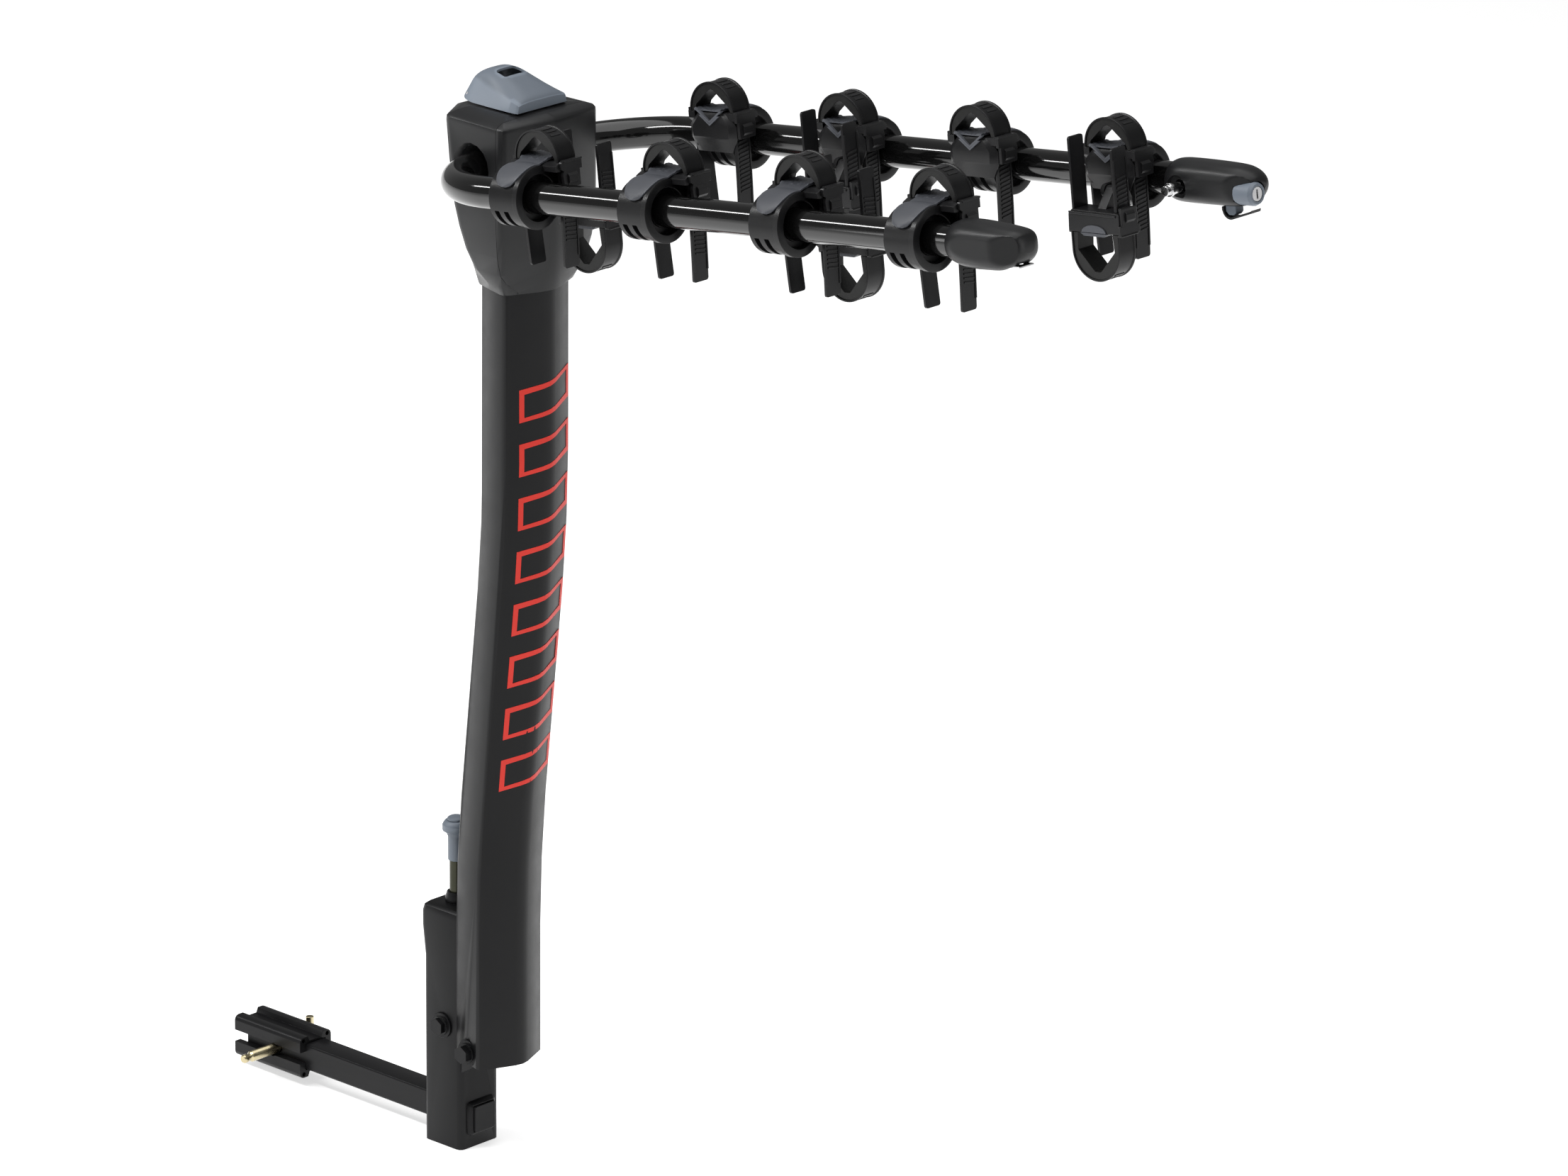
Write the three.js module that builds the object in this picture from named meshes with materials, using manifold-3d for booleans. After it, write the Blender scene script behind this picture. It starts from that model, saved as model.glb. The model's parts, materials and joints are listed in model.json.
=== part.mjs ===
// Hitch mounted bike rack: a shank that slides into a receiver, a tilting mast with a moulded head,
// and a folding U-shaped arm tube with eight strap cradles, four of them with anti-sway cradles.
// Millimetres, +Z up. +X runs rearward from the vehicle, Y across it.
import * as THREE from 'three';
import { mergeVertices } from 'three/addons/utils/BufferGeometryUtils.js';
import Module from 'manifold-3d';

const wasm = await Module();
wasm.setup();

// ---- Driving dimensions --------------------------------------------------------------------
const GAP = 0.3;                                        // clearance between neighbouring pieces
const BAR = { front: -369, rear: 9, z: 36, side: 31.75, corner: 2.5 };
const ADAPTER = { front: -381, rear: -271, half: 25, upFrom: 7, groove: 19 };
const PIN = { x: -318, radius: 6.35, near: -72, far: 24 };
const POST = { depth: 60, half: 31, corner: 7, straight: 225, swell: 4.5, top: 288, wall: 4 };
const ROD = { x: -37, radius: 8, bottom: 208, top: 362 };
const KNOB = { bottom: 338, flange: 372, top: 386, radius: 9.5, flangeRadius: 16 };
const LATCH_BOLT = { x: -29, z: 147 };
const PIVOT = { x: 26, z: 132, boss: 43.5 };
const MAST = { bottom: 118, bendFrom: 270, bendTo: 850, shift: 44, top: 1100, wall: 3, openTop: 292 };
const HEAD = { wall: 3, split: 103, inside: 1245, recess: 1248.3 };
const LEVER = { pinX: 16, pinZ: 1256.2, wall: 2.4 };
const CROSS = { x: 63, z: 1189.7 };                     // axis that the arm tube folds about
const ARM = { radius: 17.5, wall: 2.5, y: 167, bend: 125, slope: Math.atan(0.1288), endX: 870, insert: 12 };
const CRADLE = { firstX: 245, pitch: 192, count: 4 };
const ANTISWAY_SHIFT = 14;                              // anti-sway cradle, rearward of its cradle
const STRAP = { out: -31, wide: 27, tail: 22, leg: 29.5, thick: 3, low: -82, hoop: 33 };

// ---- Materials -----------------------------------------------------------------------------
function material(color, roughness, metalness) {
  return new THREE.MeshStandardMaterial({ color, roughness, metalness });
}
const SATIN_BLACK = material(0x202124, 0.45, 0.5);
const GLOSS_BLACK = material(0x0b0b0c, 0.12, 0.5);
const CASE_BLACK = material(0x2a2b2d, 0.6, 0);
const SOFT_BLACK = material(0x1f2021, 0.8, 0);
const BLUE_GREY = material(0x6e767e, 0.5, 0);
const PAD_GREY = material(0x4b4e52, 0.7, 0);
const ZINC = material(0xc9b458, 0.35, 1);
const STEEL = material(0xc0c3c6, 0.25, 1);
const OLIVE = material(0x3a3b2c, 0.4, 0.7);

// ---- Geometry helpers ----------------------------------------------------------------------
const v3 = (x, y, z) => new THREE.Vector3(x, y, z);

function toSolid(geometry) {
  const bare = geometry.clone();
  for (const name of Object.keys(bare.attributes)) {
    if (name !== 'position') bare.deleteAttribute(name);
  }
  const welded = mergeVertices(bare, 1e-3);
  return new wasm.Manifold(new wasm.Mesh({
    numProp: 3,
    vertProperties: Float32Array.from(welded.attributes.position.array),
    triVerts: Uint32Array.from(welded.index.array),
  }));
}

function toGeometry(solid) {
  const { vertProperties, triVerts } = solid.getMesh();
  const geometry = new THREE.BufferGeometry();
  geometry.setAttribute('position', new THREE.BufferAttribute(vertProperties, 3));
  geometry.setIndex(new THREE.BufferAttribute(triVerts, 1));
  geometry.computeVertexNormals();
  return geometry;
}

// Joins every geometry in `parts`, then cuts away every geometry in `cuts`.
function shape(parts, cuts = []) {
  let solid = toSolid(parts[0]);
  for (const part of parts.slice(1)) solid = solid.add(toSolid(part));
  for (const cut of cuts) solid = solid.subtract(toSolid(cut));
  return toGeometry(solid);
}

function common(a, b) {
  return toGeometry(toSolid(a).intersect(toSolid(b)));
}

function box(x0, x1, y0, y1, z0, z1) {
  const geometry = new THREE.BoxGeometry(x1 - x0, y1 - y0, z1 - z0);
  return geometry.translate((x0 + x1) / 2, (y0 + y1) / 2, (z0 + z1) / 2);
}

// A cylinder or cone along 'x', 'y' or 'z'; `at` gives the two other coordinates in x, y, z order.
function rod(axis, from, to, radius, at, sides = 14, endRadius = radius) {
  const geometry = new THREE.CylinderGeometry(endRadius, radius, to - from, sides);
  const middle = (from + to) / 2;
  if (axis === 'x') return geometry.rotateZ(-Math.PI / 2).translate(middle, at[0], at[1]);
  if (axis === 'y') return geometry.translate(at[0], middle, at[1]);
  return geometry.rotateX(Math.PI / 2).translate(at[0], at[1], middle);
}

function lathe(profile, x, y, sides = 14) {
  const points = profile.map(([radius, z]) => new THREE.Vector2(radius, z));
  return new THREE.LatheGeometry(points, sides).rotateX(Math.PI / 2).translate(x, y, 0);
}

// Extrudes an outline drawn in the plane of axes (u, v) between two places on the third axis.
function extrude(plane, points, from, to) {
  const outline = new THREE.Shape(points.map(([a, b]) => new THREE.Vector2(a, b)));
  const geometry = new THREE.ExtrudeGeometry(outline, { depth: to - from, bevelEnabled: false });
  const basis = new THREE.Matrix4();
  if (plane === 'yz') {
    basis.makeBasis(v3(0, 1, 0), v3(0, 0, 1), v3(1, 0, 0));
    return geometry.applyMatrix4(basis).translate(from, 0, 0);
  }
  basis.makeBasis(v3(1, 0, 0), v3(0, 0, 1), v3(0, -1, 0));
  return geometry.applyMatrix4(basis).translate(0, to, 0);
}

// Outline of a convex polygon whose corners [x, y, radius] are rounded with short arcs.
function rounded(corners, steps = 3) {
  return corners.flatMap(([x, y, radius], i) => {
    const here = new THREE.Vector2(x, y);
    const before = corners[(i + corners.length - 1) % corners.length];
    const after = corners[(i + 1) % corners.length];
    const back = new THREE.Vector2(before[0], before[1]).sub(here).normalize();
    const on = new THREE.Vector2(after[0], after[1]).sub(here).normalize();
    const half = Math.acos(THREE.MathUtils.clamp(back.dot(on), -1, 1)) / 2;
    const centre = back.clone().add(on).normalize().multiplyScalar(radius / Math.sin(half)).add(here);
    const start = back.multiplyScalar(radius / Math.tan(half)).add(here).sub(centre);
    const end = on.multiplyScalar(radius / Math.tan(half)).add(here).sub(centre);
    const turn = Math.atan2(start.cross(end), start.dot(end));
    return Array.from({ length: steps + 1 }, (_, k) => {
      const spoke = start.clone().rotateAround(new THREE.Vector2(), (turn * k) / steps);
      return [centre.x + spoke.x, centre.y + spoke.y];
    });
  });
}

// The same corners moved inward by `wall`; corners run anticlockwise.
function inset(corners, wall) {
  return corners.map(([x, y, radius], i) => {
    const before = corners[(i + corners.length - 1) % corners.length];
    const after = corners[(i + 1) % corners.length];
    const a = new THREE.Vector2(x - before[0], y - before[1]).normalize();
    const b = new THREE.Vector2(after[0] - x, after[1] - y).normalize();
    const normal = new THREE.Vector2(-a.y - b.y, a.x + b.x);
    const reach = wall / (1 + a.dot(b));
    return [x + normal.x * reach, y + normal.y * reach, Math.max(radius - wall, 0.5)];
  });
}

// A closed body through rings of equal count, closed with a fan at each end.
function loft(rings) {
  const count = rings[0].length;
  const points = rings.flat();
  const faces = [];
  for (let r = 0; r + 1 < rings.length; r += 1) {
    for (let k = 0; k < count; k += 1) {
      const a = r * count + k;
      const b = r * count + ((k + 1) % count);
      faces.push(a, b, b + count, a, b + count, a + count);
    }
  }
  for (const r of [0, rings.length - 1]) {
    const centre = rings[r].reduce((sum, p) => sum.add(p), v3(0, 0, 0)).divideScalar(count);
    points.push(centre);
    for (let k = 0; k < count; k += 1) {
      const a = r * count + k;
      const b = r * count + ((k + 1) % count);
      faces.push(...(r === 0 ? [b, a] : [a, b]), points.length - 1);
    }
  }
  return outward(points, faces);
}

// Makes the faces point out of the body.
function outward(points, faces) {
  let volume = 0;
  for (let i = 0; i < faces.length; i += 3) {
    const [a, b, c] = [points[faces[i]], points[faces[i + 1]], points[faces[i + 2]]];
    volume += a.dot(v3().crossVectors(b, c));
  }
  if (volume < 0) {
    for (let i = 0; i < faces.length; i += 3) {
      [faces[i], faces[i + 1]] = [faces[i + 1], faces[i]];
    }
  }
  const geometry = new THREE.BufferGeometry().setFromPoints(points);
  geometry.setIndex(faces);
  geometry.computeVertexNormals();
  return geometry;
}

// A round bar swept along a path of points that lies in one plane with the given normal.
function sweep(path, normal, radius, sides) {
  return loft(path.map((point, i) => {
    const before = path[Math.max(i - 1, 0)];
    const after = path[Math.min(i + 1, path.length - 1)];
    const tangent = after.clone().sub(before).normalize();
    const side = v3().crossVectors(tangent, normal).normalize();
    const up = v3().crossVectors(side, tangent).normalize();
    return Array.from({ length: sides }, (_, k) => {
      const angle = (2 * Math.PI * (k + 0.5)) / sides;
      return point.clone().addScaledVector(side, radius * Math.cos(angle))
        .addScaledVector(up, radius * Math.sin(angle));
    });
  }));
}

function arc(centreX, centreY, radius, fromDegrees, toDegrees, steps) {
  return Array.from({ length: steps + 1 }, (_, k) => {
    const angle = THREE.MathUtils.degToRad(fromDegrees + ((toDegrees - fromDegrees) * k) / steps);
    return [centreX + radius * Math.cos(angle), centreY + radius * Math.sin(angle)];
  });
}

// The mirror image of a piece in its own X-Z plane.
function mirrored(geometry) {
  const flipped = geometry.clone().scale(1, -1, 1);
  const index = flipped.index.array.slice();
  for (let i = 0; i < index.length; i += 3) [index[i], index[i + 1]] = [index[i + 1], index[i]];
  flipped.setIndex(new THREE.BufferAttribute(index, 1));
  flipped.computeVertexNormals();
  return flipped;
}

const rack = new THREE.Group();
rack.position.set(-BAR.front, 0, -BAR.z);

function place(name, geometry, surface, parent = rack) {
  const mesh = new THREE.Mesh(geometry, surface);
  mesh.name = name;
  parent.add(mesh);
}

function square(half, corner) {
  return [[-half, -half, corner], [half, -half, corner], [half, half, corner], [-half, half, corner]];
}

// ---- Shank, adapters and hitch pin ---------------------------------------------------------
function shankBar() {
  const half = BAR.side / 2;
  const section = rounded(square(half, BAR.corner), 2).map(([y, z]) => [y, z + BAR.z]);
  const bore = rod('y', -20, 20, PIN.radius + 0.5, [PIN.x, BAR.z], 20);
  return shape([extrude('yz', section, BAR.front, BAR.rear)], [bore]);
}

// One rail of the adapter, which packs the shank out to a larger receiver; `up` is 1 or -1.
function adapter(up) {
  const inner = BAR.side / 2 + GAP;
  const { half, upFrom, groove, front, rear } = ADAPTER;
  const side = [[inner, inner], [inner, upFrom], [half, upFrom]];
  const corner = arc(half - 6, half - 6, 6, 0, 90, 3);
  const right = [...side, ...corner, [12, half], [9.5, groove]];
  const left = right.map(([y, z]) => [-y, z]).reverse();
  const section = [...right, ...left].map(([y, z]) => [y, BAR.z + up * z]);
  const holes = [-1, 1].map((s) => rod('x', front - 1, rear + 1, 2.6, [s * 18.8, BAR.z + up * 20.6], 12));
  const arch = rod('y', -half - 1, half + 1, PIN.radius + 2.2, [PIN.x, BAR.z], 20);
  return shape([extrude('yz', section, front, rear)], [...holes, arch]);
}

function hitchPin() {
  const { radius, near, far } = PIN;
  const profile = [[0, near], [4, near], [5.2, near + 2], [5.2, near + 6], [4.1, near + 7],
    [4.1, near + 11], [radius, near + 13], [radius, far], [0, far]];
  const points = profile.map(([r, y]) => new THREE.Vector2(r, y));
  const pin = new THREE.LatheGeometry(points, 16).translate(PIN.x, 0, BAR.z);
  const bend = arc(far + 3, BAR.z + 9, 9, -90, 0, 4).map(([y, z]) => v3(PIN.x, y, z));
  const path = [v3(PIN.x, far - 3, BAR.z), ...bend, v3(PIN.x, far + 12, BAR.z + 24)];
  return shape([pin, sweep(path, v3(1, 0, 0), 4.8, 12)]);
}

// ---- Base post, pivot and release ----------------------------------------------------------
function postCorners(front, shrink) {
  const { half, corner } = POST;
  return [[front + shrink, -half + shrink, corner], [-shrink, -half + shrink, corner],
    [-shrink, half - shrink, corner], [front + shrink, half - shrink, corner]];
}

function basePost() {
  const { depth, half, straight, swell, top, wall } = POST;
  const levels = [[0, 0, 0], [straight, 0, 0], [straight + 37, swell, 0], [top - 10, swell, 0],
    [top - 3, swell, 1.5], [top, swell, 5]];
  const outer = loft(levels.map(([z, out, shrink]) => (
    rounded(postCorners(-depth - out, shrink), 3).map(([x, y]) => v3(x, y, z)))));
  const hollow = box(-depth + wall, -wall, -half + wall, half - wall, -1, 270);
  const boss = lathe([[0, top - 3], [13, top - 3], [13, top + 5], [10.8, top + 12], [0, top + 12]], ROD.x, 0);
  const sleeve = BAR.side / 2 + GAP;
  const bead = loft([[-1, 21], [4, 19.5], [6, 17.5]].map(([x, reach]) => (
    rounded(square(reach, 4), 2).map(([y, z]) => v3(x, y, z + BAR.z)))));
  const cuts = [hollow,
    box(-depth - 6, 10, -sleeve, sleeve, BAR.z - sleeve, BAR.z + sleeve),
    rod('z', 260, top + 20, ROD.radius + 0.6, [ROD.x, 0]),
    rod('y', -half - 1, half + 1, 6.4, [LATCH_BOLT.x, LATCH_BOLT.z])];
  return shape([outer, boss, bead], cuts);
}

function pivotBracket() {
  const ear = [[GAP, 96], [20, 108], ...arc(PIVOT.x, PIVOT.z, 14, -60, 60, 6), [GAP, 186]];
  const ears = [-30, 24].map((y) => extrude('xz', ear, y, y + 6));
  const back = box(GAP, 5, -26, 26, 100, 182);
  return shape([...ears, back], [rod('y', -32, 32, 6.4, [PIVOT.x, PIVOT.z])]);
}

// Hexagon head, flange, washer, shank and nut as the one piece that they are when tightened.
function bolt(x, z, seat, headHeight, extra = []) {
  const parts = [rod('y', -seat, seat, 6, [x, z], 10), ...extra];
  for (const s of [-1, 1]) {
    const stack = [[seat, seat + 2.4, 15, 16], [seat + 2.4, seat + 4.6, 11.5, 12],
      [seat + 4.6, seat + 2.4 + headHeight, 10.4, 6]];
    for (const [from, to, radius, sides] of stack) {
      parts.push(rod('y', Math.min(s * from, s * to), Math.max(s * from, s * to), radius, [x, z], sides));
    }
  }
  return shape(parts);
}

function releaseRod() {
  const profile = [[0, ROD.bottom - 6], [ROD.radius - 1, ROD.bottom - 6], [13, ROD.bottom - 4],
    [13, ROD.bottom + 4], [ROD.radius, ROD.bottom + 4], [ROD.radius, ROD.top], [0, ROD.top]];
  return lathe(profile, ROD.x, 0, 12);
}

function releaseKnob() {
  const bore = ROD.radius + GAP;
  const { bottom, flange, top, radius, flangeRadius } = KNOB;
  const profile = [[bore, bottom], [radius, bottom], [radius, flange - 6], [radius + 2.5, flange],
    [flangeRadius, flange + 2], [flangeRadius, top - 5], [flangeRadius - 2, top - 2],
    [flangeRadius - 4, top], [0, top], [0, ROD.top + GAP], [bore, ROD.top + GAP], [bore, bottom]];
  return lathe(profile, ROD.x, 0, 16);
}

function knobCap() {
  const base = KNOB.top + GAP;
  return lathe([[0, base], [10.5, base], [10.5, base + 2], [8, base + 3.6], [0, base + 4.2]], ROD.x, 0, 14);
}

function releaseSpring() {
  const [low, high, turns, perTurn] = [ROD.bottom + 6.2, 268, 4, 10];
  const steps = turns * perTurn;
  const path = Array.from({ length: steps + 1 }, (_, k) => {
    const angle = (2 * Math.PI * k) / perTurn;
    return v3(ROD.x + 10.6 * Math.cos(angle), 10.6 * Math.sin(angle), low + ((high - low) * k) / steps);
  });
  return sweep(path, v3(0, 0, 1), 1.3, 4);
}

// ---- Mast ----------------------------------------------------------------------------------
function mastShift(z) {
  return MAST.shift * THREE.MathUtils.smoothstep(z, MAST.bendFrom, MAST.bendTo);
}

function mastCorners(shift) {
  return [[-4 + shift, -35, 6], [50 + shift, -51.5, 8], [72 + shift, 0, 25],
    [50 + shift, 51.5, 8], [-4 + shift, 35, 6]];
}

function mastTube() {
  const bends = Array.from({ length: 8 }, (_, k) => (
    MAST.bendFrom + ((MAST.bendTo - MAST.bendFrom) * k) / 7));
  const body = (wall, low, high) => loft([low, ...bends, high].map((z) => {
    const corners = mastCorners(mastShift(z));
    return rounded(wall ? inset(corners, wall) : corners, 2).map(([x, y]) => v3(x, y, z));
  }));
  const boss = (from, to) => rod('y', from, to, 16.5, [PIVOT.x, PIVOT.z], 16);
  const face = (from, to) => rod('y', from, to, 16.3, [PIVOT.x, PIVOT.z], 16);
  const cuts = [body(MAST.wall, MAST.bottom - 5, MAST.top + 5),
    box(-20, 3, -31.4, 31.4, MAST.bottom - 5, MAST.openTop)];
  const shell = shape([body(0, MAST.bottom, MAST.top)], cuts);
  return shape([shell, boss(38, PIVOT.boss), boss(-PIVOT.boss, -38)],
    [face(PIVOT.boss, 60), face(-60, -PIVOT.boss), rod('y', -60, 60, 6.4, [PIVOT.x, PIVOT.z])]);
}

// ---- Head ----------------------------------------------------------------------------------
// Each level: z, front [x, y], side front [x, y], side rear [x, y] and the ridge x.
const HEAD_LEVELS = [
  [1046, [36.4, 38.8], [66, 48], [96, 56.4], 120.5],
  [1058, [34, 40], [76, 60], [100, 63], 121],
  [1073, [31, 41], [64, 67], [105, 69], 121.5],
  [1094, [26, 42], [53, 71], [110, 72.5], 122],
  [1118, [19, 42], [43, 72], [113, 74], 122],
  [1142, [12, 40], [35, 72], [114, 75], 122],
  [1192, [4, 37], [27, 72], [114, 75], 122],
  [1236, [0, 34], [22, 72], [114, 74.5], 122],
];
const HEAD_SHOULDER = [[1240, 0.4], [1243, 3], [1246.5, 12], [1249.5, 24]];   // z, drawn in by

function headCorners([, front, sideFront, sideRear, ridge]) {
  const half = [[...front, 12], [...sideFront, 12], [...sideRear, 8]];
  const near = half.map(([x, y, r]) => [x, -y, r]);
  return [...near, [ridge, 0, 40], ...half.slice().reverse()];
}

function headBody(wall, low) {
  const levels = HEAD_LEVELS.map((level) => [level[0], wall, level]);
  const last = HEAD_LEVELS[HEAD_LEVELS.length - 1];
  const shoulder = HEAD_SHOULDER.map(([z, shrink]) => [z - wall, wall + shrink, last]);
  levels[0][0] = low;
  return loft([...levels, ...shoulder].map(([z, shrink, level]) => {
    const corners = shrink ? inset(headCorners(level), shrink) : headCorners(level);
    return rounded(corners, 2).map(([x, y]) => v3(x, y, z));
  }));
}

function headHalf(front) {
  const outer = headBody(0, 1046);
  const inner = common(headBody(HEAD.wall, 1040), box(-20, 140, -90, 90, 1030, HEAD.inside));
  const cups = [[-70, -60], [60, 70]].map(([a, b]) => rod('y', a, b, 28, [CROSS.x, CROSS.z], 16));
  const recess = box(2, 104, -43, 43, HEAD.recess, 1270);
  const shell = shape([shape([outer], [inner]), ...cups]);
  const cuts = [recess, box(38, 78, -13, 13, 1230, 1262),
    rod('y', -90, 90, 24, [CROSS.x, CROSS.z], 16),
    rod('y', 66, 78, 24, [CROSS.x, CROSS.z], 16, 31),
    rod('y', -78, -66, 31, [CROSS.x, CROSS.z], 16, 24)];
  const side = front ? box(-20, HEAD.split - 0.2, -90, 90, 1030, 1270)
    : box(HEAD.split + 0.2, 140, -90, 90, 1030, 1270);
  return common(shape([shell], cuts), side);
}

function headFrame() {
  const plates = [[-36, -30], [30, 36]].map(([a, b]) => box(42, 108, a, b, 1104, 1226));
  const base = box(44, 108, -44, 44, MAST.top + GAP, 1107);
  return shape([base, ...plates], [rod('y', -40, 40, ARM.radius + 0.5, [CROSS.x, CROSS.z], 16)]);
}

// Across the lever: x, base z, half width of the base, half width and z of the creases, crown z.
const LEVER_SECTIONS = [
  [4, 1255, 20, 14, 1258, 1260],
  [10, 1253, 30, 18, 1267, 1272],
  [18, 1251.5, 36, 21.5, 1272, 1281],
  [32, 1250.8, 39.5, 25, 1270, 1289],
  [47, 1250.8, 40, 29, 1267.5, 1291],
  [66, 1250.8, 40.3, 32.5, 1264.5, 1288.5],
  [84, 1250.8, 40.3, 35.5, 1262, 1279],
  [96, 1250.8, 40, 37, 1261, 1270],
  [101, 1250.8, 38.5, 36.5, 1260, 1266],
];

function leverBody(wall) {
  const first = LEVER_SECTIONS[0][0] + wall;
  const last = LEVER_SECTIONS[LEVER_SECTIONS.length - 1][0] - wall;
  const steps = 6;
  return loft(LEVER_SECTIONS.map(([x, base, half, crease, edge, crown]) => {
    const place = THREE.MathUtils.clamp(x, first, last);
    const top = Array.from({ length: steps + 1 }, (_, k) => {
      const share = (2 * k) / steps - 1;
      return v3(place, share * (crease - wall), edge - wall + (crown - edge) * (1 - share * share));
    });
    const low = wall ? base - 10 : base;
    return [v3(place, -half + wall, low), ...top, v3(place, half - wall, low)];
  }));
}

function foldLever() {
  const window = box(40, 72, -11, 11, 1240, 1300);
  const pinHole = rod('y', -60, 60, 2.4, [LEVER.pinX, LEVER.pinZ], 10);
  return shape([leverBody(0)], [leverBody(LEVER.wall), window, pinHole]);
}

function foldPawl() {
  const body = box(45, 69, -9, 9, 1240, 1276);
  const tip = extrude('xz', [[52, 1242], [56, 1217], [66, 1217], [69, 1242]], -9, 9);
  return shape([body, tip]);
}

// ---- Arms ----------------------------------------------------------------------------------
function armHeight(x) {
  return CROSS.z + (x - CROSS.x) * Math.tan(ARM.slope);
}

function armTube() {
  const straight = ARM.y - ARM.bend;
  const along = (x, y) => v3(CROSS.x + x * Math.cos(ARM.slope), y, CROSS.z + x * Math.sin(ARM.slope));
  const normal = v3(-Math.sin(ARM.slope), 0, Math.cos(ARM.slope));
  const bar = (radius, length, sides) => {
    const half = [...arc(ARM.bend, straight, ARM.bend, 180, 90, 8), [length, ARM.y]];
    const path = [...half.map(([x, y]) => [x, -y]).reverse(), ...half];
    return sweep(path.map(([x, y]) => along(x, y)), normal, radius, sides);
  };
  const length = (ARM.endX - CROSS.x) / Math.cos(ARM.slope) + ARM.insert;
  return shape([bar(ARM.radius, length, 16)], [bar(ARM.radius - ARM.wall, length + 5, 8)]);
}

function foldRatchet() {
  const ring = rod('y', -9, 9, 26, [CROSS.x, CROSS.z], 16);
  const notch = box(CROSS.x - 8, CROSS.x + 6, -10, 10, CROSS.z + 21, CROSS.z + 30);
  return shape([ring], [rod('y', -10, 10, ARM.radius + GAP, [CROSS.x, CROSS.z], 16), notch]);
}

// Loft along the arm through rounded rectangles [u, half width, low w, high w, corner].
function alongArm(sections) {
  return loft(sections.map(([u, half, low, high, corner]) => (
    rounded([[-half, low, corner], [half, low, corner], [half, high, corner], [-half, high, corner]], 2)
      .map(([v, w]) => v3(u, v, w)))));
}

const STUD = { u: 26, w: -4 };                          // cable stud in the side of the far end cap

function capSocket(from) {
  return rod('x', from, ARM.insert + 2 * GAP, ARM.radius + 2 * GAP, [0, 0], 16);
}

// The nose is cut away by a slanting plane on its outboard side.
function nearEndCap() {
  const body = alongArm([[-2, 20.5, -20.5, 20.5, 18], [10, 24, -24, 24.5, 20],
    [28, 25.3, -25.4, 25.3, 19], [50, 25, -25, 23.5, 17], [70, 23.5, -23.5, 21.5, 13],
    [86, 21, -17.5, 19.3, 9], [93, 18, -12, 16.5, 7], [98, 11, -5, 9, 4]]);
  const slant = box(0, 90, 0, 60, -40, 40).rotateZ(-0.4).translate(58, 23, 0);
  const mouth = box(66, 90, -10, 8, -30, -9);
  return shape([body], [capSocket(-10), slant, box(36, 92, -13, 13, -30, -17), mouth]);
}

function bottleOpener() {
  const plate = box(38, 92, -11, 11, -19.5, -17.3);
  const mouth = rod('z', -30, -10, 7, [78, 0], 20);
  return shape([plate], [mouth]);
}

function farEndCap() {
  const body = alongArm([[6, 21, -21, 20, 17], [14, 23, -23, 22.5, 19], [30, 23.5, -23.5, 23, 20],
    [70, 23.5, -23, 22, 19], [96, 23, -22.5, 20.5, 17], [108, 21.5, -20, 18, 15], [116, 18, -15, 14.5, 11],
    [121, 13.5, -9, 10.5, 7], [123.5, 8, -3, 6, 3]]);
  const scallop = rod('y', -30, -19.2, 12, [STUD.u - 3, STUD.w], 16);
  const bore = rod('x', 100, 130, 13.5, [-9, -6.5], 16);
  return shape([body], [capSocket(0), bore, scallop, rod('y', -30, -12, 8, [STUD.u, STUD.w], 16)]);
}

function lockHousing() {
  return shape([rod('x', 100.4, 121, 13, [-9, -6.5], 16), rod('x', 121, 125, 13, [-9, -6.5], 16, 11)],
    [rod('x', 112, 130, 8.4, [-9, -6.5], 14)]);
}

function lockCore() {
  return shape([rod('x', 112.4, 124, 7.8, [-9, -6.5], 14)], [box(120, 130, -10.2, -7.8, -11.5, -1.5)]);
}

function cablePlug() {
  const at = [STUD.u, STUD.w];
  return shape([rod('y', -35, -12.5, 6, at, 16), rod('y', -38, -34, 7.4, at, 16),
    rod('y', -44, -37, 5.5, at, 16)]);
}

function capHook() {
  const outline = [[72, -23.8], [72, -28], ...arc(83, -27, 10.5, 190, 280, 5), [112, -29], [113, -25.5],
    [104, -25.5], [92, -23.8]];
  return shape([extrude('xz', outline, -8, 8)]);
}

// ---- Cradles -------------------------------------------------------------------------------
// Drawn beside the arm axis: u along the arm, v outboard, w up.
const SEAT = { high: 36, low: 24, half: 36 };
const HINGE = { v: -57, w: -5 };

function tailSlots(centre, low, high) {
  const [from, to] = [STRAP.out - STRAP.tail / 2 - 0.5, STRAP.out + STRAP.tail / 2 + 0.5];
  const half = STRAP.thick / 2 + 0.6;
  return [-1, 1].map((s) => box(centre + s * STRAP.leg - half, centre + s * STRAP.leg + half, from, to, low, high));
}

// Upright plate beside the ladder tail, the block that joins it on, and a small tab opposite.
function buckle(centre, out, up) {
  const plates = [[35.5, 39.5, 15.5, 26, 37], [35.5, 39.5, 12.5, 8, 26.5], [31.9, 36, 8.75, 8, 30],
    [-39, -35, 9, 28, 38.5]];
  return plates.map(([u0, u1, half, low, high]) => (
    box(centre + u0, centre + u1, out - half, out + half, ...[up * low, up * high].sort((a, b) => a - b))));
}

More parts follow.
